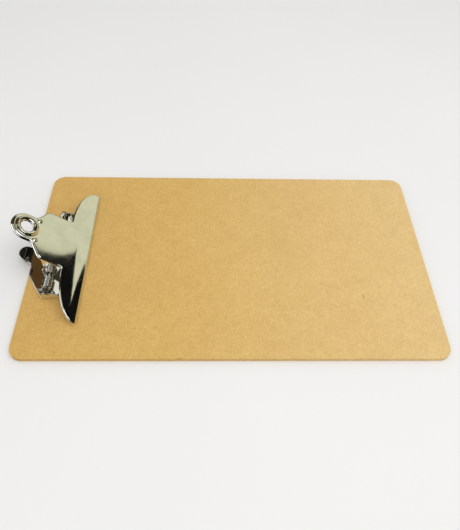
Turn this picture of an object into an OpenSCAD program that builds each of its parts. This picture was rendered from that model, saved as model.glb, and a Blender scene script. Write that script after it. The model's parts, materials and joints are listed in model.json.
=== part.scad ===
// Hardboard clipboard with a sprung, wide-jawed sheet-metal clip.
// Origin: centre of the board's underside. +X runs along the board away from the clip, +Z is up.

/* [Board] */
// Length of the board
board_l = 393.7; // [300:0.1:420]
// Width of the board
board_w = 228.6; // [215:0.1:260]
// Thickness of the board
board_t = 4; // [3.2:0.1:6]
// Radius of the board's corners
board_r = 12; // [4:1:20]

/* [Clip] */
// Thickness of the sheet metal
sheet = 1; // [0.8:0.1:1.2]
// Slope of the closed clamp plate, in degrees
slope = 40; // [36:1:42]
// Distance of the axle from the board's end
axle_in = 22; // [20:0.5:24]
// Height of the axle above the board
axle_up = 5; // [5:0.1:6]
// Distance from the axle to the clamp plate's upper face
plate_gap = 20.1; // [20:0.1:21]
// Half the length of the jaw
jaw_half = 80.5; // [74:0.5:86]
// Half the width of the clamp plate's neck
neck_half = 28.5; // [26:0.5:30]
// Half the width of the base plate
base_half = 51.5; // [48:0.5:54]

/* [Handle] */
// Radius of the handle's round end
handle_r = 14.5; // [13:0.5:16]
// Radius of the hanging hole
hole_r = 6; // [5:0.5:7]
// Distance up the plate from the axle to the hanging hole
hole_u = 37.9; // [36:0.1:40]

/* [Spring] */
// Diameter of the spring's wire
wire_d = 1.5; // [1.2:0.1:1.6]
// Mean radius of the spring's turns
coil_r = 3.1; // [2.8:0.1:3.2]
// Diameter of the axle
axle_d = 3.4; // [3:0.1:3.6]

/* [Rivets] */
// Diameter of a rivet's shank
rivet_d = 4; // [3:0.5:5]
// Diameter of a rivet's head
rivet_head_d = 8; // [7:0.5:10]
// Half the distance between the two rivets
rivet_half = 14; // [10:1:20]

/* [Hidden] */
$fn = 64;
cut = 200;                  // longer than any sheet that it trims
slip = 0.05;                // radial clearance of a shaft in its hole
end_x = -board_l / 2;       // the board's end under the clip
top_z = board_t;            // the board's upper face
axle_x = end_x + axle_in;
axle_z = top_z + axle_up;

// Clamp plate, in its own frame: origin on the axle, u up the slope, v across, w square to the plate
lip_bend_r = 61;            // radius of the jaw's gentle bend, on its inner side
lip_turn = 15.2;            // angle of that bend
wing_v = 29;                // where the wing's elliptical rear edge starts
wing_u = -28;               // its centre along the plate
wing_rise = 25.3;           // how far it rises there
notch_u = -2.7;             // where the wing meets the neck
shoulder_u = 20.4;          // where the neck starts to narrow
waist_u = 32.9;             // where it has narrowed to the handle
bend_u = -11.7;             // where the lip's bend starts
bend_r = 2.5;               // outer radius of the neck's folded edges
flange = 2.6;               // depth of the handle's rolled edge
rim_w = 5;                  // width of the raised rim round the hanging hole
rim_h = 1.5;                // its height
dimple_u = 27.9;             // the two small stiffening bumps beside the waist
dimple_v = 11.5;
dimple_r = 2;
ear_r = 3.6;                // radius of the clamp plate's ears round the axle
ear_back_u = 18;            // how far the ears run up the neck
ear_front_u = -2.2;

// Base plate
foot_half = 26;             // half its width at the board's end
foot_in = 0.8;              // how far that edge lies in from the board's end
shoulder_in = 16.5;         // where it reaches its full width
front_in = 46;              // its front edge
tab_r = 9.5;                // radius of the lever tab's round end
tab_out = 4;                // how far the centre of that end lies beyond the board
tab_root = 15.5;            // half the tab's width at its root
curl_r = 20;                // radius to which the tab curls up
ear_top_r = 4;              // radius of the base plate's ears round the axle
base_ear_front = 40;        // where they run out, from the board's end
base_ear_nose = 2.5;        // their height there

// Springs
turns = 8;
coil_inner = 30.4;          // distance of the first turn from the middle
coil_pitch = 1.65;
leg_l = 11;                 // leg that pushes the clamp plate's ear
leg_tilt = 48;              // its angle from the clamp plate's slope
hook_l = 4.5;               // inward hook at its end
foot_l = 5.4;               // leg that rests on the base plate
foot_tilt = 60;             // its angle downwards
leg_share = 0.9;            // the legs' diameter as a share of the wire's

// Rivets
rivet_in = 38;              // distance of the rivets from the board's end
rivet_head_h = 1.6;
rivet_tail_h = 1.2;

function arc(cx, cy, r, a0, a1, n) =
    [for (i = [0:n]) let (a = a0 + (a1 - a0) * i / n) [cx + r * cos(a), cy + r * sin(a)]];

// Half width of the clamp plate between the neck and the handle
function waist(u, inset) = let (t = (u - shoulder_u) / (waist_u - shoulder_u))
    handle_r - inset + (neck_half - bend_r / 2 - handle_r) * (1 + cos(180 * t)) / 2;

// One half of the clamp plate's outline above the notch, from the shoulder to the tip
function handle_half(inset) = concat(
    [for (i = [0:12]) let (u = shoulder_u + (waist_u - shoulder_u) * i / 12) [u, waist(u, inset)]],
    arc(hole_u, 0, handle_r - inset, 90, 0, 24));

function wing_half() = concat(
    [for (i = [0:24]) let (a = 90 * (1 - i / 24))
        [wing_u + wing_rise * cos(a), wing_v + (jaw_half - wing_v) * sin(a)]],
    [[notch_u, neck_half]]);

function flip(points) = [for (i = [len(points) - 1:-1:0]) [points[i][0], -points[i][1]]];

function both(half) = concat(half, flip(half));

// Turns a shape drawn in (u, v) on the clamp plate's frame into place
module on_slope() {
    translate([axle_x, 0, axle_z]) rotate([0, slope, 0]) mirror([1, 0, 0]) children();
}

// Extrudes a 2-D (x, z) outline along Y between two distances from the middle, on side s
module side_wall(s, inner, outer) {
    rotate([90, 0, 0]) translate([0, 0, s > 0 ? -outer : inner])
        linear_extrude(outer - inner) children();
}

module board() {
    color("#D8B46D") difference() {
        union() {
            translate([-board_l / 2 + board_r, -board_w / 2, 0])
                cube([board_l - 2 * board_r, board_w, board_t]);
            translate([-board_l / 2, -board_w / 2 + board_r, 0])
                cube([board_l, board_w - 2 * board_r, board_t]);
            for (sx = [-1, 1], sy = [-1, 1])
                translate([sx * (board_l / 2 - board_r), sy * (board_w / 2 - board_r), 0])
                    cylinder(h = board_t, r = board_r);
        }
        for (s = [-1, 1]) translate([end_x + rivet_in, s * rivet_half, -1]) {
            cylinder(h = board_t + 2, d = rivet_d + 2 * slip);
            cylinder(h = 1 + rivet_tail_h + slip, d = rivet_head_d + 2 * slip);
        }
    }
}

// Half of the base plate's plan, in distances from the board's end
base_plan = [[foot_in, 0], [foot_in, foot_half], [shoulder_in, base_half],
             [front_in, base_half], [front_in, 0]];

// The base plate's ear in (x, z), from the board's end and its upper face
module base_ear() {
    translate([axle_in, axle_up]) circle(r = ear_top_r);
    polygon([[axle_in - ear_top_r, sheet / 2], [axle_in - ear_top_r, axle_up],
             [axle_in + ear_top_r * sin(20), axle_up + ear_top_r * cos(20)],
             [base_ear_front, base_ear_nose], [base_ear_front + 3, sheet / 2]]);
}

module lever_tab() {
    intersection() {
        translate([foot_in, 0, curl_r]) rotate([90, 0, 0])
            translate([0, 0, -cut / 2]) linear_extrude(cut) difference() {
                circle(r = curl_r, $fn = 180);
                circle(r = curl_r - sheet, $fn = 180);
            }
        translate([0, 0, -1]) linear_extrude(curl_r / 2) {
            translate([-tab_out, 0]) circle(r = tab_r);
            polygon([[-tab_out - 1, tab_r], [foot_in + 1, tab_root],
                     [foot_in + 1, -tab_root], [-tab_out - 1, -tab_r]]);
        }
    }
}

module base_plate() {
    color("#C9C9BE") translate([end_x, 0, top_z]) difference() {
        union() {
            for (s = [0, 1]) mirror([0, s, 0]) linear_extrude(sheet) polygon(base_plan);
            for (s = [-1, 1]) side_wall(s, base_half - sheet, base_half) base_ear();
            lever_tab();
        }
        for (s = [-1, 1]) translate([rivet_in, s * rivet_half, -1])
            cylinder(h = sheet + 2, d = rivet_d + 2 * slip);
        translate([axle_in, base_half + 1, axle_up]) rotate([90, 0, 0])
            cylinder(h = 2 * base_half + 2, d = axle_d);
    }
}

// The clamp plate's ear in (u, w)
module clamp_ear() {
    circle(r = ear_r);
    polygon([[-ear_r, 0], [ear_front_u, plate_gap - bend_r], [ear_back_u, plate_gap - bend_r],
             [ear_r, 0]]);
}

// Bent profile of the jaw in (u, w)
module jaw_profile() {
    lip_cw = plate_gap - sheet - lip_bend_r;
    translate([bend_u, lip_cw]) {
        intersection() {
            difference() {
                circle(r = lip_bend_r + sheet, $fn = 180);
                circle(r = lip_bend_r, $fn = 180);
            }
            polygon([[0, 0], [0, cut], [-cut * tan(lip_turn), cut]]);
        }
    }
    translate([bend_u, plate_gap - sheet]) square([hole_u - bend_u, sheet]);
}

module clamp_plate() {
    color("#D6D6C8") on_slope() difference() {
        union() {
            // wings and lip: the bent sheet trimmed to the wings' outline
            intersection() {
                rotate([90, 0, 0]) translate([0, 0, -jaw_half]) linear_extrude(2 * jaw_half)
                    jaw_profile();
                translate([0, 0, -cut / 2]) linear_extrude(cut) union() {
                    polygon(both(wing_half()));
                    translate([wing_u - 20, -jaw_half]) square([20.01, 2 * jaw_half]);
                }
            }
            // neck and handle
            translate([0, 0, plate_gap - sheet]) linear_extrude(sheet) {
                translate([notch_u - 1, -neck_half + bend_r])
                    square([shoulder_u - notch_u + 1.01, 2 * (neck_half - bend_r)]);
                polygon(both(handle_half(0)));
            }
            // rolled edge of the handle
            translate([0, 0, plate_gap - flange]) linear_extrude(flange) difference() {
                polygon(both(handle_half(0)));
                polygon(both(concat([[shoulder_u - 1, waist(shoulder_u, sheet)]],
                                    handle_half(sheet))));
            }
            // folded edges of the neck, and the ears below them
            for (s = [-1, 1]) {
                translate([notch_u - 1, s * (neck_half - bend_r), plate_gap - bend_r])
                    rotate([0, 90, 0]) linear_extrude(shoulder_u - notch_u + 1) intersection() {
                        difference() {
                            circle(r = bend_r);
                            circle(r = bend_r - sheet);
                        }
                        translate([-bend_r, s > 0 ? 0 : -bend_r]) square(bend_r);
                    }
                side_wall(s, neck_half - sheet, neck_half) clamp_ear();
            }
            // raised rim of the hanging hole
            translate([hole_u, 0, plate_gap]) rotate_extrude() intersection() {
                translate([hole_r + rim_w / 2, 0]) scale([1, rim_h * 2 / rim_w])
                    circle(r = rim_w / 2);
                translate([0, -sheet / 2]) square([hole_r + rim_w, rim_h + sheet]);
            }
            for (s = [-1, 1]) translate([dimple_u, s * dimple_v, plate_gap - dimple_r / 2])
                sphere(r = dimple_r);
        }
        translate([hole_u, 0, 0]) cylinder(h = cut, r = hole_r);
        translate([0, cut / 2, 0]) rotate([90, 0, 0]) cylinder(h = cut, d = axle_d + 2 * slip);
    }
}

module axle() {
    head_r = axle_d / 2 + 1.9;
    color("#BDBDB6") translate([axle_x, base_half + sheet, axle_z]) rotate([90, 0, 0]) {
        cylinder(h = 2 * (base_half + sheet), d = axle_d);
        for (z = [0, 2 * base_half + sheet]) translate([0, 0, z]) cylinder(h = sheet, r = head_r);
    }
}

// A straight wire leaving one side of the coil, turned by angle a about the axle
module leg(a, y, length, side) {
    translate([0, y, 0]) rotate([0, a, 0]) translate([0, 0, side * coil_r])
        rotate([0, -90, 0]) cylinder(h = length, d = wire_d * leg_share);
}

// A coil with a hooked leg behind the clamp plate's ear and a foot on the base plate
module near_spring() {
    outer = coil_inner + (turns - 1) * coil_pitch;
    hook_a = slope + leg_tilt;
    color("#B9B9B2") translate([axle_x, 0, axle_z]) {
        rotate([90, 0, 0]) rotate_extrude() {
            for (i = [0:turns - 1])
                translate([coil_r, coil_inner + i * coil_pitch]) circle(d = wire_d);
            translate([coil_r - wire_d / 4, coil_inner]) square([wire_d / 2, outer - coil_inner]);
        }
        leg(-foot_tilt, -outer, foot_l, 1);
        leg(hook_a, -coil_inner, leg_l, -1);
        rotate([0, hook_a, 0]) translate([-leg_l + wire_d / 2, -coil_inner, -coil_r])
            rotate([-90, 0, 0]) cylinder(h = hook_l, d = wire_d * 0.8);
    }
}

module far_spring() {
    mirror([0, 1, 0]) near_spring();
}

module rivet(s) {
    color("#C4C4BC") translate([end_x + rivet_in, s * rivet_half, 0]) {
        cylinder(h = top_z + sheet + rivet_head_h / 2, d = rivet_d);
        cylinder(h = rivet_tail_h, d = rivet_head_d);
        translate([0, 0, top_z + sheet]) intersection() {
            translate([0, 0, rivet_head_h - rivet_head_d]) sphere(r = rivet_head_d);
            cylinder(h = rivet_head_h, d = rivet_head_d);
        }
    }
}

board();
base_plate();
clamp_plate();
axle();
near_spring();
far_spring();
rivet(-1);  // near_rivet
rivet(1);  // far_rivet
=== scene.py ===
import json
import math

import bmesh
import bpy
from mathutils import Matrix, Vector


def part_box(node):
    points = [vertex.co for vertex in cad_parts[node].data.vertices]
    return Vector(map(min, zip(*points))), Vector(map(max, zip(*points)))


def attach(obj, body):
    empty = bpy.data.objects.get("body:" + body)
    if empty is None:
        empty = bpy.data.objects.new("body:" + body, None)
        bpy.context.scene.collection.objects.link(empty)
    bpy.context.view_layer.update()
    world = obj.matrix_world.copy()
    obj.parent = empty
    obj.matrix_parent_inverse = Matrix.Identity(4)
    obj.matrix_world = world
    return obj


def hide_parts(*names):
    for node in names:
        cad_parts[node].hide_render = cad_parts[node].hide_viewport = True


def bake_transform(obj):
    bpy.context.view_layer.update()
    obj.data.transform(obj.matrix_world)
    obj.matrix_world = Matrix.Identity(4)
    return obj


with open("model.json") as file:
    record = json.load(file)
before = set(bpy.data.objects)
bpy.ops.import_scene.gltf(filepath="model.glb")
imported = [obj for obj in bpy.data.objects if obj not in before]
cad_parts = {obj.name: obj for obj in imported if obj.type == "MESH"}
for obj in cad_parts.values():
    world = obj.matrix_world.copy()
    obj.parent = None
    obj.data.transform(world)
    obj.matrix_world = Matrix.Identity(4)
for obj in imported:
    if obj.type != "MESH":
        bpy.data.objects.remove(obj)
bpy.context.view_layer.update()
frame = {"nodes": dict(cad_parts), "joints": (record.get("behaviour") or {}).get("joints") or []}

MM = 0.001
SCENE = bpy.context.scene

# Where things are, from the frame
BOARD_LO, BOARD_HI = (Vector(c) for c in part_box("board"))
HINGE = frame["joints"][0]
AXLE = Vector(HINGE["pos_m"])
END_X, TOP_Z = BOARD_LO.x, BOARD_HI.z

# Clamp plate, in millimetres on its own slope: u up the slope, v across, w square to the plate
SLOPE = math.radians(40)
SHEET = 1.0
PLATE_TOP = 20.1
NECK_HALF = 28.5
JAW_HALF = 80.5
# From BEND_U to LIP_END, measured on the flat sheet, the lip bends to BEND_R, and to the tighter
# NIP_R over its last NIP_RUN
BEND_U, BEND_R, LIP_END = -11.7, 75.0, -28.45
NIP_RUN, NIP_R = 3.3, 14.0
NOTCH_U, SHOULDER_U, WAIST_U = -2.7, 20.4, 32.9
HOLE_U, HOLE_R, HANDLE_R = 37.9, 6.0, 14.5
DIMPLE_U, DIMPLE_V = 27.9, 11.5
EAR_R, EAR_FRONT_U, EAR_BACK_U = 3.6, -2.2, 18.0
WING_CORNER_R, NOTCH_R = 3.0, 1.6
EDGE_ROLL, NECK_ROLL, LIP_ROLL = 1.3, 2.3, 0.45

# Base plate, in millimetres from the board's end and its upper face
AXLE_IN = (AXLE.x - END_X) / MM
AXLE_UP = (AXLE.z - TOP_Z) / MM
BASE_HALF, BASE_FRONT = 51.5, 46.0
FOOT_IN, FOOT_HALF, FULL_IN = 0.8, 26.0, 16.5
TAB_R, TAB_ROOT, CURL_R, TAB_OUT = 9.5, 15.5, 19.0, 13.1
FLANK_IN, FLANK_HALF = 8.5, 38.6
RIM_UP = 2.6


# ---------------------------------------------------------------- node helpers
def new_material(name):
    mat = bpy.data.materials.new(name)
    mat.use_nodes = True
    tree = mat.node_tree
    tree.nodes.clear()
    out = tree.nodes.new("ShaderNodeOutputMaterial")
    shader = tree.nodes.new("ShaderNodeBsdfPrincipled")
    tree.links.new(shader.outputs[0], out.inputs[0])
    return mat, tree, shader


def node(tree, kind, **values):
    """Adds a node; a value is set on the property or on the input socket of that name."""
    n = tree.nodes.new(kind)
    for key, value in values.items():
        if hasattr(n, key):
            setattr(n, key, value)
        else:
            n.inputs[key.replace("_", " ")].default_value = value
    return n


def stretched_coords(tree, scale):
    coords = node(tree, "ShaderNodeTexCoord")
    mapping = node(tree, "ShaderNodeMapping", Scale=scale)
    tree.links.new(coords.outputs["Object"], mapping.inputs["Vector"])
    return mapping.outputs[0]


def noise_from(tree, coords, scale, detail=4.0, rough=0.6, twist=0.0):
    n = node(tree, "ShaderNodeTexNoise", Scale=scale, Detail=detail, Roughness=rough,
             Distortion=twist)
    tree.links.new(coords, n.inputs["Vector"])
    return n.outputs["Fac"]


def ramp(tree, source, *stops):
    n = node(tree, "ShaderNodeValToRGB")
    while len(n.color_ramp.elements) < len(stops):
        n.color_ramp.elements.new(0.5)
    for element, (place, colour) in zip(n.color_ramp.elements, stops):
        element.position = place
        element.color = colour if isinstance(colour, tuple) else (colour, colour, colour, 1)
    tree.links.new(source, n.inputs[0])
    return n.outputs[0]


def mix(tree, blend_type, factor, a, b):
    n = node(tree, "ShaderNodeMix", data_type="RGBA", blend_type=blend_type)
    for socket, value in ((n.inputs[0], factor), (n.inputs[6], a), (n.inputs[7], b)):
        if isinstance(value, (int, float, tuple)):
            socket.default_value = value
        else:
            tree.links.new(value, socket)
    return n.outputs[2]


def bump(tree, shader, height, distance, strength=1.0):
    n = node(tree, "ShaderNodeBump", Distance=distance, Strength=strength)
    tree.links.new(height, n.inputs["Height"])
    tree.links.new(n.outputs[0], shader.inputs["Normal"])


# ---------------------------------------------------------------- materials
def hardboard():
    """Tempered hardboard: tan, mottled by pressed fibres, with dark flecks and specks, and
    painted light along it: browner shade at the clip end, paler towards the free end."""
    mat, tree, shader = new_material("hardboard_tan")
    even = stretched_coords(tree, (1, 1, 1))
    pulp = noise_from(tree, even, 620, 8, 0.75, 1.2)
    clouds = noise_from(tree, even, 17, 3)
    blotch = noise_from(tree, even, 95, 5, 0.65, 0.8)
    colour = ramp(tree, pulp, (0.30, (0.56, 0.335, 0.085, 1)), (0.5, (0.70, 0.46, 0.145, 1)),
                  (0.70, (0.80, 0.57, 0.235, 1)))
    colour = mix(tree, "MULTIPLY", 0.9, colour,
                 ramp(tree, clouds, (0.3, (0.97, 0.96, 0.93, 1)), (0.7, 1.0)))
    colour = mix(tree, "MULTIPLY", 0.9, colour,
                 ramp(tree, blotch, (0.35, (0.93, 0.91, 0.86, 1)), (0.62, 1.0)))
    # Painted light and shade along the board: browner, shaded at the clip end, paler where the light
    # falls brighter towards the free end
    axes = node(tree, "ShaderNodeSeparateXYZ")
    tree.links.new(even, axes.inputs[0])
    along = node(tree, "ShaderNodeMapRange", From_Min=END_X, From_Max=-END_X)
    tree.links.new(axes.outputs[0], along.inputs[0])
    colour = mix(tree, "MULTIPLY", 1.0, colour,
                 ramp(tree, along.outputs[0], (0.0, (0.93, 0.88, 0.80, 1)),
                      (0.3, (0.97, 0.95, 0.92, 1)), (1.0, (1.0, 1.0, 1.0, 1))))
    # Painted light: a paler lift towards the free end
    colour = mix(tree, "ADD", ramp(tree, along.outputs[0], (0.35, 0.0), (1.0, 1.0)), colour,
                 (0.06, 0.075, 0.085, 1))
    for stretch, scale, limit in (((1, 1, 1), 24, 0.040), ((1, 0.3, 1), 70, 0.085),
                                  ((0.3, 1, 1), 80, 0.085)):
        cells = node(tree, "ShaderNodeTexVoronoi", Scale=scale)
        tree.links.new(stretched_coords(tree, stretch), cells.inputs["Vector"])
        specks = ramp(tree, cells.outputs["Distance"], (limit * 0.7, 1.0), (limit, 0.0))
        rare = ramp(tree, cells.outputs["Color"], (0.78, 0.0), (0.84, 0.6))
        colour = mix(tree, "MIX", mix(tree, "MULTIPLY", 1.0, specks, rare), colour,
                     (0.27, 0.14, 0.045, 1))
    tree.links.new(colour, shader.inputs["Base Color"])
    tree.links.new(ramp(tree, blotch, (0.3, 0.42), (0.7, 0.56)), shader.inputs["Roughness"])
    shader.inputs["Specular IOR Level"].default_value = 0.3
    bump(tree, shader, pulp, 0.00006, 0.5)
    return mat


def plated(name, tint, rough_low, rough_high):
    """Bright plated metal with faint rubbed patches and fine scratches."""
    mat, tree, shader = new_material(name)
    even = stretched_coords(tree, (1, 1, 1))
    rubbed = noise_from(tree, even, 60, 4)
    lines = noise_from(tree, stretched_coords(tree, (1, 0.06, 1)), 1500, 3)
    shade = tuple(c * 0.9 for c in tint)
    colour = ramp(tree, rubbed, (0.35, shade + (1,)), (0.6, tint + (1,)))
    tree.links.new(colour, shader.inputs["Base Color"])
    shader.inputs["Metallic"].default_value = 1.0
    rough = mix(tree, "ADD", 0.02, ramp(tree, rubbed, (0.3, rough_low), (0.75, rough_high)), lines)
    tree.links.new(rough, shader.inputs["Roughness"])
    bump(tree, shader, lines, 0.000004, 0.25)
    return mat


def pale_floor():
    mat, tree, shader = new_material("studio_floor")
    even = stretched_coords(tree, (1, 1, 1))
    colour = ramp(tree, noise_from(tree, even, 3, 2), (0.3, 0.80), (0.7, 0.82))
    tree.links.new(colour, shader.inputs["Base Color"])
    shader.inputs["Roughness"].default_value = 0.9
    shader.inputs["Specular IOR Level"].default_value = 0.1
    return mat


HARDBOARD = hardboard()
NICKEL = plated("nickel_bright", (0.90, 0.90, 0.84), 0.03, 0.07)
PIN_METAL = plated("pin_plated", (0.80, 0.80, 0.76), 0.10, 0.20)
WIRE_METAL = plated("spring_wire_plated", (0.78, 0.77, 0.73), 0.12, 0.24)
RIVET_METAL = plated("rivet_plated", (0.84, 0.83, 0.77), 0.08, 0.18)


# ---------------------------------------------------------------- mesh helpers
def arc(cx, cy, r, a0, a1, n):
    """Points on a circle from angle a0 to a1 in degrees, both ends included."""
    angles = (math.radians(a0 + (a1 - a0) * i / n) for i in range(n + 1))
    return [(cx + r * math.cos(a), cy + r * math.sin(a)) for a in angles]


def eased(x, x0, x1, y0, y1):
    """Goes smoothly from y0 at x0 to y1 at x1, and stays level outside them."""
    t = min(max((x - x0) / (x1 - x0), 0), 1)
    return y0 + (y1 - y0) * t * t * (3 - 2 * t)


def mirrored(half):
    """Closes a half outline that starts and ends on v = 0 with its mirror image."""
    return half + [(u, -v) for u, v in reversed(half[1:-1])]


def inward_normals(outline):
    count = len(outline)
    normals = []
    for i, (x, y) in enumerate(outline):
        (x0, y0), (x1, y1) = outline[i - 1], outline[(i + 1) % count]
        a = Vector((x - x0, y - y0)).normalized()
        b = Vector((x1 - x, y1 - y)).normalized()
        t = (a + b).normalized()
        normals.append(Vector((-t.y, t.x)))
    area = sum(outline[i - 1][0] * p[1] - p[0] * outline[i - 1][1] for i, p in enumerate(outline))
    return normals if area > 0 else [-n for n in normals]


def pressed_sheet(outline, roll, depth, cuts, steps=7):
    """A flat sheet, open below, whose edge rolls down with radius roll(x) to depth(x). It is
    divided across at each x in cuts, so that it can be bent there."""
    bm = bmesh.new()
    normals = inward_normals(outline)
    rings = []
    for k in range(-1, steps + 1):
        ring = []
        for (x, y), n in zip(outline, normals):
            r = roll(x)
            a = math.radians(90 * max(k, 0) / steps)
            inset = r * (1 - math.cos(a))
            z = -r * (1 - math.sin(a)) if k >= 0 else -max(depth(x), r + 0.01)
            ring.append(bm.verts.new((x + n.x * inset, y + n.y * inset, z)))
        rings.append(ring)
    for low, high in zip(rings, rings[1:]):
        for i in range(len(low)):
            j = (i + 1) % len(low)
            bm.faces.new((low[i], low[j], high[j], high[i]))
    bm.faces.new(rings[-1])
    for x in cuts:
        geometry = bm.verts[:] + bm.edges[:] + bm.faces[:]
        bmesh.ops.bisect_plane(bm, geom=geometry, plane_co=(x, 0, 0), plane_no=(1, 0, 0))
    bmesh.ops.recalc_face_normals(bm, faces=bm.faces[:])
    top = max(bm.faces, key=lambda f: f.calc_area())
    if top.normal.z < 0:
        bmesh.ops.reverse_faces(bm, faces=bm.faces[:])
    return bm


def lathe(profile, segments=96):
    """Revolves a closed (r, z) profile about the z axis."""
    bm = bmesh.new()
    rings = []
    for i in range(segments):
        a = 2 * math.pi * i / segments
        rings.append([bm.verts.new((r * math.cos(a), r * math.sin(a), z)) for r, z in profile])
    for i in range(segments):
        here, after = rings[i], rings[(i + 1) % segments]
        for k in range(len(profile)):
            m = (k + 1) % len(profile)
            bm.faces.new((here[k], after[k], after[m], here[m]))
    bmesh.ops.remove_doubles(bm, verts=bm.verts[:], dist=1e-5)
    bmesh.ops.recalc_face_normals(bm, faces=bm.faces[:])
    return bm


def slab(outline, thickness):
    """A closed slab from a 2-D outline, between z = 0 and z = thickness."""
    bm = bmesh.new()
    low = [bm.verts.new((x, y, 0)) for x, y in outline]
    high = [bm.verts.new((x, y, thickness)) for x, y in outline]
    bm.faces.new(low)
    bm.faces.new(high)
    for i in range(len(low)):
        j = (i + 1) % len(low)
        bm.faces.new((low[i], low[j], high[j], high[i]))
    bmesh.ops.recalc_face_normals(bm, faces=bm.faces[:])
    return bm


def to_object(bm, name, place):
    """Moves every vertex through place(Vector) -> Vector and makes an object."""
    for v in bm.verts:
        v.co = place(v.co)
    bmesh.ops.recalc_face_normals(bm, faces=bm.faces[:])
    mesh = bpy.data.meshes.new(name)
    bm.to_mesh(mesh)
    bm.free()
    obj = bpy.data.objects.new(name, mesh)
    SCENE.collection.objects.link(obj)
    return obj


def apply_modifier(obj, kind, **values):
    mod = obj.modifiers.new(kind.lower(), kind)
    for key, value in values.items():
        setattr(mod, key, value)
    bpy.context.view_layer.objects.active = obj
    with bpy.context.temp_override(object=obj, active_object=obj, selected_objects=[obj]):
        bpy.ops.object.modifier_apply(modifier=mod.name)


def joined(objects, name):
    bpy.ops.object.select_all(action="DESELECT")
    for obj in objects:
        obj.select_set(True)
    bpy.context.view_layer.objects.active = objects[0]
    bpy.ops.object.join()
    objects[0].name = name
    objects[0].data.name = name
    return objects[0]


def smooth(obj):
    """Smooth shading that the flat faces dominate, so they reflect as flat mirrors."""
    for polygon in obj.data.polygons:
        polygon.use_smooth = True
    obj.data.set_sharp_from_angle(angle=math.radians(35))
    mod = obj.modifiers.new("weighted", "WEIGHTED_NORMAL")
    mod.keep_sharp = True
    mod.weight = 100


def drill(obj, centre, direction, radius, length):
    """Cuts a round hole through obj."""
    bpy.ops.mesh.primitive_cylinder_add(vertices=96, radius=radius, depth=length, location=centre)
    cutter = bpy.context.object
    cutter.rotation_mode = "QUATERNION"
    cutter.rotation_quaternion = Vector(direction).to_track_quat("Z", "Y")
    bpy.context.view_layer.update()
    apply_modifier(obj, "BOOLEAN", operation="DIFFERENCE", solver="EXACT", object=cutter)
    bpy.data.objects.remove(cutter, do_unlink=True)


# ---------------------------------------------------------------- clamp plate
def on_slope(p):
    """Takes (u, v, w) in millimetres from the axle, on the clamp plate's slope, to metres."""
    u, v, w = p
    x = -u * math.cos(SLOPE) + w * math.sin(SLOPE)
    z = u * math.sin(SLOPE) + w * math.cos(SLOPE)
    return AXLE + Vector((x, v, z)) * MM


def bent_lip(p):
    """Takes a point of the unrolled sheet (w from its upper face) round the lip's gentle
    bend and the tighter turn at its tip."""
    run = BEND_U - p.x
    if run <= 0:
        return on_slope((p.x, p.y, PLATE_TOP + p.z))
    gentle = min(run, BEND_U - LIP_END - NIP_RUN)
    start = gentle / BEND_R
    angle = start + (run - gentle) / NIP_R
    u = BEND_U - BEND_R * math.sin(start) - NIP_R * (math.sin(angle) - math.sin(start))
    w = PLATE_TOP - BEND_R * (1 - math.cos(start)) - NIP_R * (math.cos(start) - math.cos(angle))
    return on_slope((u - p.z * math.sin(angle), p.y, w + p.z * math.cos(angle)))


def clamp_outline():
    """Straight lip edge, round corner, quarter-ellipse wing, notch, neck, shoulder, handle."""
    wing_u, notch_v = LIP_END + WING_CORNER_R, NECK_HALF + NOTCH_R
    # Points along a straight stretch set how the bent sheet is divided into triangles
    half = [(LIP_END, v) for v in (0.0, 20.0, 45.0, 65.0)]
    half += arc(wing_u, JAW_HALF - WING_CORNER_R, WING_CORNER_R, 180, 90, 8)
    steps = 48
    for i in range(1, steps):
        a = math.radians(90 * (1 - i / steps))
        half.append((wing_u + (NOTCH_U - wing_u) * math.cos(a),
                     notch_v + (JAW_HALF - notch_v) * math.sin(a)))
    half += arc(NOTCH_U + NOTCH_R, notch_v, NOTCH_R, 180, 270, 8)
    half += [(u, NECK_HALF) for u in (3.0, 8.0, 13.0, 17.0)]
    first, steps = SHOULDER_U - 2, 24
    for i in range(steps + 1):
        t = i / steps
        half.append((first + (WAIST_U - first) * t,
                     HANDLE_R + (NECK_HALF - HANDLE_R) * (1 + math.cos(math.pi * t)) / 2))
    half += arc(HOLE_U, 0, HANDLE_R, 90, 0, 36)
    half[-1] = (HOLE_U + HANDLE_R, 0.0)
    return mirrored(half)


def clamp_roll(u):
    if u < NOTCH_U + 0.8:
        return eased(u, LIP_END, LIP_END + 4, LIP_ROLL, EDGE_ROLL)
    return eased(u, NOTCH_U + 0.8, NOTCH_U + 5, EDGE_ROLL, NECK_ROLL)


def clamp_depth(u):
    if u < NOTCH_U:
        return eased(u, LIP_END, LIP_END + 4, 1.05, 1.5)
    return eased(u, SHOULDER_U - 4, SHOULDER_U + 2, 1.5, 2.6)


def hole_rim():
    """The raised rim round the hanging hole, as a closed profile turned about the hole."""
    profile = [(11.6, -0.5), (11.5, 0.02)]
    for i in range(1, 12):
        t = i / 12
        profile.append((11.4 - 2.4 * t, 0.02 + 1.43 * (1 - math.cos(math.pi * t)) / 2))
    profile += [(9.0 - 3.0 * math.sin(a), 1.45 - 2.4 * (1 - math.cos(a)))
                for a in (math.radians(90 * i / 12) for i in range(13))]
    profile += [(HOLE_R, -1.4), (7.0, -1.4), (7.4, -0.9)]
    return lathe(profile)


def dimple():
    """One of the two raised dimples beside the rim."""
    profile = [(0.0, -0.5), (2.6, -0.5), (2.5, 0.0)]
    profile += [(2.5 * (1 - i / 8), 0.95 * math.sin(math.pi / 2 * i / 8) ** 1.5)
                for i in range(1, 9)]
    return lathe(profile, 32)


def ear_outline():
    top = PLATE_TOP - 1.8
    return [(EAR_FRONT_U, top), *arc(0, 0, EAR_R, 180, 360, 32), (EAR_BACK_U, top)]


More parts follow.
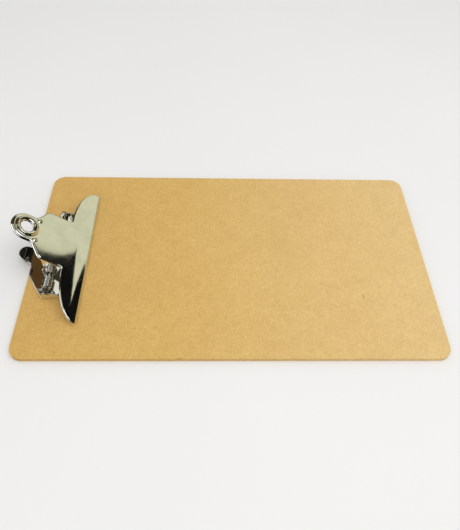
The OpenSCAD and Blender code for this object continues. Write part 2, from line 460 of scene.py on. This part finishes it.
def clamp_plate():
    cuts = [BEND_U - (BEND_U - LIP_END) * i / 18 for i in range(18)]
    sheet = to_object(pressed_sheet(clamp_outline(), clamp_roll, clamp_depth, cuts),
                      "clamp_sheet", bent_lip)
    apply_modifier(sheet, "SOLIDIFY", thickness=SHEET * MM, offset=-1, use_even_offset=True)
    axis = on_slope((HOLE_U, 0, 1)) - on_slope((HOLE_U, 0, 0))
    drill(sheet, on_slope((HOLE_U, 0, PLATE_TOP)), axis, (HOLE_R + 0.4) * MM, 12 * MM)
    parts = [sheet, to_object(hole_rim(), "rim",
                              lambda p: on_slope((HOLE_U + p.x, p.y, PLATE_TOP + p.z)))]
    for side in (-1, 1):
        parts.append(to_object(
            dimple(), "dimple",
            lambda p: on_slope((DIMPLE_U + p.x, side * DIMPLE_V + p.y, PLATE_TOP + p.z))))
        ear = to_object(slab(ear_outline(), SHEET), "ear",
                        lambda p: on_slope((p.x, side * (NECK_HALF - p.z), p.y)))
        apply_modifier(ear, "BEVEL", width=0.25 * MM, segments=2, limit_method="ANGLE")
        drill(ear, AXLE + Vector((0, side * NECK_HALF * MM, 0)), (0, 1, 0), 1.75 * MM, 6 * MM)
        parts.append(ear)
    piece = joined(parts, "clamp_plate_pressing")
    finish_piece(piece, NICKEL, "clamp_body", "clamp_plate")


# ---------------------------------------------------------------- base plate
def on_board(p):
    """Takes millimetres from the middle of the board's upper end edge to metres."""
    return Vector((END_X, 0, TOP_Z)) + Vector(p) * MM


def curled(p):
    """Curls the lever tab up beyond the board's end and cups it."""
    run = FOOT_IN - p.x
    if run <= 0:
        return on_board((p.x, p.y, SHEET + p.z))
    angle = run / CURL_R
    r = CURL_R - p.z
    cup = eased(run, 1, 10, 0, 2.2) * (p.y / 10) ** 2
    return on_board((FOOT_IN - r * math.sin(angle), p.y,
                     SHEET + CURL_R - r * math.cos(angle) + cup))


def base_outline():
    tip = FOOT_IN - CURL_R * math.asin((FOOT_IN + TAB_OUT) / (CURL_R + SHEET))
    centre = tip + TAB_R
    half = [(BASE_FRONT, 0.0), (BASE_FRONT, 25.0)]
    half += arc(BASE_FRONT - 1.5, BASE_HALF - 1.5, 1.5, 0, 90, 5)
    half += [(30.0, BASE_HALF), (FULL_IN + 2, BASE_HALF), (FULL_IN + 0.5, BASE_HALF - 0.4),
             (FULL_IN - 0.6, BASE_HALF - 1.8)]
    half += [(FLANK_IN, FLANK_HALF), (FOOT_IN + 0.8, FOOT_HALF + 1.2), (FOOT_IN + 0.1, FOOT_HALF - 1),
             (FOOT_IN, FOOT_HALF - 4)]
    for i in range(15):
        t = i / 14
        x = FOOT_IN + (centre - FOOT_IN) * t
        half.append((x, TAB_R + (TAB_ROOT - TAB_R) * (1 - t) ** 2.2))
    half += arc(centre, 0, TAB_R, 90, 180, 24)[1:]
    half[-1] = (centre - TAB_R, 0.0)
    return mirrored(half)


def base_ear_outline():
    return [*arc(AXLE_IN, AXLE_UP, 4, 180, 70, 24), (32.0, 6.2), (40.0, 2.5), (43.0, 0.6),
            (AXLE_IN - 4, 0.6)]


def base_roll(x):
    """A fine edge on the flat plate, and a rounder one on the lever tab."""
    return eased(x, FOOT_IN, FOOT_IN - 2, 0.4, 1.1)


def base_depth(x):
    return base_roll(x) + 0.1


def base_rim_outline():
    """The turned-up rear edge, from the lever tab round to the ear."""
    outer = [(FOOT_IN + 0.05, TAB_ROOT + 1), (FOOT_IN + 0.05, FOOT_HALF - 2),
             (FOOT_IN + 0.9, FOOT_HALF + 1), (FLANK_IN + 0.2, FLANK_HALF - 0.2),
             (FULL_IN, BASE_HALF - 1.1)]
    inner = [(FULL_IN + 0.9, BASE_HALF - 1.9), (FLANK_IN + 1.6, FLANK_HALF - 0.8),
             (FOOT_IN + 2.2, FOOT_HALF + 0.4), (FOOT_IN + 1.5, FOOT_HALF - 2.3),
             (FOOT_IN + 1.5, TAB_ROOT + 1)]
    return outer + inner


def base_plate():
    cuts = [FOOT_IN - i for i in range(17)]
    sheet = to_object(pressed_sheet(base_outline(), base_roll, base_depth, cuts, 6),
                      "base_sheet", curled)
    apply_modifier(sheet, "SOLIDIFY", thickness=(SHEET - 0.05) * MM, offset=-1)
    parts = [sheet]
    for side in (-1, 1):
        ear = to_object(slab(base_ear_outline(), SHEET), "ear",
                        lambda p: on_board((p.x, side * (BASE_HALF - p.z), p.y)))
        apply_modifier(ear, "BEVEL", width=0.3 * MM, segments=3, limit_method="ANGLE")
        parts.append(ear)
        rim = to_object(slab(base_rim_outline(), RIM_UP), "rim",
                        lambda p: on_board((p.x, side * p.y, 0.3 + p.z)))
        apply_modifier(rim, "BEVEL", width=0.6 * MM, segments=4, limit_method="ANGLE")
        parts.append(rim)
    piece = joined(parts, "base_plate_pressing")
    finish_piece(piece, NICKEL, "board_body", "base_plate")


# ---------------------------------------------------------------- springs
# Coil between COIL_IN and COIL_OUT from the middle; the wire's angles at its two ends, in degrees
COIL_R, WIRE_R = 3.1, 0.75
COIL_IN, COIL_OUT = 30.4, 41.95
LEAVES_FOOT, LEAVES_LEG = 150.0, 182.0 - 360 * 7


def spring_route(side):
    """Foot on the base plate, close-wound coil on the axle, hooked leg behind the ear."""
    def at(angle, y):
        a = math.radians(angle)
        return Vector((COIL_R * math.cos(a), side * y, COIL_R * math.sin(a)))

    down = Vector((-0.5, 0, -0.866))
    start = at(LEAVES_FOOT, COIL_OUT)
    plate_z = -(AXLE_UP - SHEET - WIRE_R - 0.05)
    knee = start + down * ((plate_z - start.z) / down.z)
    route = [Vector((knee.x - 5, knee.y, plate_z)), Vector((knee.x - 1.4, knee.y, plate_z)),
             Vector((knee.x - 0.5, knee.y, plate_z + 0.15)), knee + Vector((0.35, 0, 0.75)),
             start + down * 2]
    steps = 300
    for i in range(steps + 1):
        t = i / steps
        route.append(at(LEAVES_FOOT + (LEAVES_LEG - LEAVES_FOOT) * t,
                        COIL_OUT + (COIL_IN - COIL_OUT) * t))
    a = math.radians(LEAVES_LEG)
    up = Vector((math.sin(a), 0, -math.cos(a)))
    leg = at(LEAVES_LEG, COIL_IN)
    inward = Vector((0, -side, 0))
    route += [leg + up * 4, leg + up * 8, leg + up * 10, leg + up * 10.8 + inward * 0.4,
              leg + up * 11.2 + inward * 1.4, leg + up * 11.2 + inward * 4.4]
    return [AXLE + p * MM for p in route]


def spring(name, side, node_name):
    """A round wire along the route, its outer end on the base plate, its inner end at the clamp."""
    curve = bpy.data.curves.new(name, "CURVE")
    curve.dimensions = "3D"
    curve.bevel_depth = WIRE_R * MM
    curve.bevel_resolution = 4
    curve.use_fill_caps = True
    spline = curve.splines.new("POLY")
    points = spring_route(side)
    spline.points.add(len(points) - 1)
    for point, co in zip(spline.points, points):
        point.co = (*co, 1)
    temp = bpy.data.objects.new(name + "_curve", curve)
    SCENE.collection.objects.link(temp)
    bpy.context.view_layer.update()
    mesh = bpy.data.meshes.new_from_object(temp.evaluated_get(
        bpy.context.evaluated_depsgraph_get()))
    bpy.data.objects.remove(temp, do_unlink=True)
    piece = bpy.data.objects.new(name, mesh)
    SCENE.collection.objects.link(piece)
    for polygon in mesh.polygons:
        polygon.use_smooth = True
    mesh.materials.clear()
    mesh.materials.append(WIRE_METAL)
    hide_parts(node_name)
    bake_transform(piece)


def finish_piece(piece, material, body, node_name):
    piece.data.materials.clear()
    piece.data.materials.append(material)
    smooth(piece)
    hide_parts(node_name)
    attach(piece, body)


def cad_finish(name, material, bevel):
    """Gives a carried-over CAD node its material and a small bevel on its sharp edges."""
    obj = frame["nodes"][name]
    obj.data.materials.clear()
    obj.data.materials.append(material)
    mod = obj.modifiers.new("edge", "BEVEL")
    mod.width = bevel * MM
    mod.segments = 3
    mod.limit_method = "ANGLE"
    mod.angle_limit = math.radians(40)


# ---------------------------------------------------------------- camera, light, floor
def camera():
    """Seen from the near long side and above, a little rolled, at about half a metre. The
    values fit the perspective of the board's four edges."""
    azimuth, elevation, roll = (math.radians(a) for a in (2.994, 52.606, 2.662))
    place, lens = (-0.01725, -0.3212, 0.4108), 34.76
    look = Vector((math.sin(azimuth) * math.cos(elevation),
                   math.cos(azimuth) * math.cos(elevation), -math.sin(elevation)))
    right = Vector((math.cos(azimuth), -math.sin(azimuth), 0))
    up = right.cross(look)
    right, up = (math.cos(roll) * right + math.sin(roll) * up,
                 math.cos(roll) * up - math.sin(roll) * right)
    data = bpy.data.cameras.new("camera")
    data.sensor_fit = "VERTICAL"
    data.sensor_height = 36
    data.lens = lens
    data.clip_start = 0.01
    cam = bpy.data.objects.new("camera", data)
    SCENE.collection.objects.link(cam)
    turn = Matrix((right, up, -look)).transposed().to_4x4()
    cam.matrix_world = Matrix.Translation(place) @ turn
    SCENE.camera = cam


def area_light(name, place, target, size, power, colour=(1, 1, 1)):
    data = bpy.data.lights.new(name, "AREA")
    data.shape = "DISK"
    data.size = size
    data.energy = power
    data.color = colour
    obj = bpy.data.objects.new(name, data)
    obj.location = place
    obj.rotation_euler = (Vector(target) - Vector(place)).to_track_quat("-Z", "Y").to_euler()
    SCENE.collection.objects.link(obj)


def studio_card(name, outline, distance, colour):
    """A card that only shows in reflections. Its outline is in (azimuth, elevation) as seen
    from the clip, in degrees, with azimuth from +X towards +Y."""
    mat = bpy.data.materials.new(name)
    mat.use_nodes = True
    tree = mat.node_tree
    tree.nodes.clear()
    glow = node(tree, "ShaderNodeEmission", Color=colour + (1,), Strength=1.0)
    out = tree.nodes.new("ShaderNodeOutputMaterial")
    tree.links.new(glow.outputs[0], out.inputs[0])
    bm = bmesh.new()
    corners = []
    for azimuth, elevation in outline:
        az, el = math.radians(azimuth), math.radians(elevation)
        corners.append(bm.verts.new((distance * math.cos(az) * math.cos(el),
                                     distance * math.sin(az) * math.cos(el),
                                     distance * math.sin(el))))
    bm.faces.new(corners)
    clip_middle = AXLE + Vector((0.02, 0, 0.01))
    card = to_object(bm, name, lambda p: clip_middle + p)
    card.data.materials.append(mat)
    card.visible_camera = False
    card.visible_diffuse = False
    card.visible_shadow = False
    card.visible_transmission = False


def surroundings():
    """Even white light for matt surfaces. Reflections see a cream wall beyond the board, dark
    below the horizon, behind the camera and past the clip's end."""
    world = bpy.data.worlds.new("studio")
    SCENE.world = world
    world.use_nodes = True
    tree = world.node_tree
    tree.nodes.clear()
    out = tree.nodes.new("ShaderNodeOutputWorld")
    soft = node(tree, "ShaderNodeBackground", Color=(1.0, 0.995, 0.985, 1), Strength=0.83)
    seen = node(tree, "ShaderNodeBackground", Strength=1.0)
    where = node(tree, "ShaderNodeTexCoord")
    split = node(tree, "ShaderNodeSeparateXYZ")
    tree.links.new(where.outputs["Generated"], split.inputs[0])
    walls = (0.66, 0.655, 0.47, 1)
    # axis of the direction, then the dark end and the bright end of its range of -1 to 1
    for axis, dark, bright in ((0, (0.32, 0.06), (0.46, 1.0)), (1, (0.44, 0.04), (0.56, 1.0)),
                               (2, (0.48, 0.03), (0.52, 1.0))):
        along = node(tree, "ShaderNodeMapRange", From_Min=-1.0, From_Max=1.0)
        tree.links.new(split.outputs[axis], along.inputs[0])
        walls = mix(tree, "MULTIPLY", 1.0, walls, ramp(tree, along.outputs[0], dark, bright))
    tree.links.new(walls, seen.inputs["Color"])
    which = node(tree, "ShaderNodeMixShader")
    path = node(tree, "ShaderNodeLightPath")
    tree.links.new(path.outputs["Is Glossy Ray"], which.inputs[0])
    tree.links.new(soft.outputs[0], which.inputs[1])
    tree.links.new(seen.outputs[0], which.inputs[2])
    tree.links.new(which.outputs[0], out.inputs[0])


def floor():
    """A plain pale floor just under the board, left out of reflections."""
    bm = bmesh.new()
    bmesh.ops.create_grid(bm, x_segments=4, y_segments=4, size=12)
    ground = to_object(bm, "floor", lambda p: p + Vector((0, 0, BOARD_LO.z - 0.0002)))
    ground.data.materials.append(pale_floor())
    ground.visible_glossy = False


def studio_cards():
    """Flags and cards round the clip; a nearer one hides a further one."""
    studio_card("dark_flag", [(-6, 12), (20, 13), (31, 15.6), (36, 18.6), (40.9, 21.3),
                              (40.6, 23), (40.4, 24.3), (40.7, 25.6), (41.4, 27), (43.5, 29.5),
                              (52, 32), (62, 36), (62, 62), (30, 62), (-6, 62)], 1.5,
                (0.004, 0.004, 0.004))
    studio_card("dark_skirt", [(35.8, 7), (33.5, 12.5), (31, 15.6), (20, 13.2), (-20, 13.2),
                               (-20, -3), (10, -3), (34.5, -3)], 1.6, (0.006, 0.005, 0.004))
    studio_card("dark_ceiling", [(62, 34), (98, 30), (98, 72), (62, 64)], 1.7,
                (0.012, 0.012, 0.01))
    studio_card("brown_ceiling", [(98, 30), (160, 30), (160, 60), (110, 72), (98, 72)], 1.7,
                (0.085, 0.045, 0.016))
    studio_card("pale_left", [(165, 3), (215, 3), (215, 46), (165, 46)], 1.8, (1.4, 1.4, 1.36))
    studio_card("pale_near", [(215, 3), (262, 3), (262, 20), (215, 20)], 1.8, (1.4, 1.4, 1.36))


def studio():
    SCENE.view_settings.view_transform = "Standard"
    surroundings()
    floor()
    area_light("key", (0.55, -0.25, 1.1), (0.05, 0, 0), 0.9, 3.7, (1, 0.985, 0.95))
    area_light("fill", (-0.5, -0.7, 0.9), (0, 0, 0), 0.8, 1.4)
    studio_cards()


camera()
studio()
cad_finish("board", HARDBOARD, 0.5)
cad_finish("axle", PIN_METAL, 0.35)
cad_finish("near_rivet", RIVET_METAL, 0.2)
cad_finish("far_rivet", RIVET_METAL, 0.2)
clamp_plate()
base_plate()
spring("near_spring_wire", -1, "near_spring")
spring("far_spring_wire", 1, "far_spring")
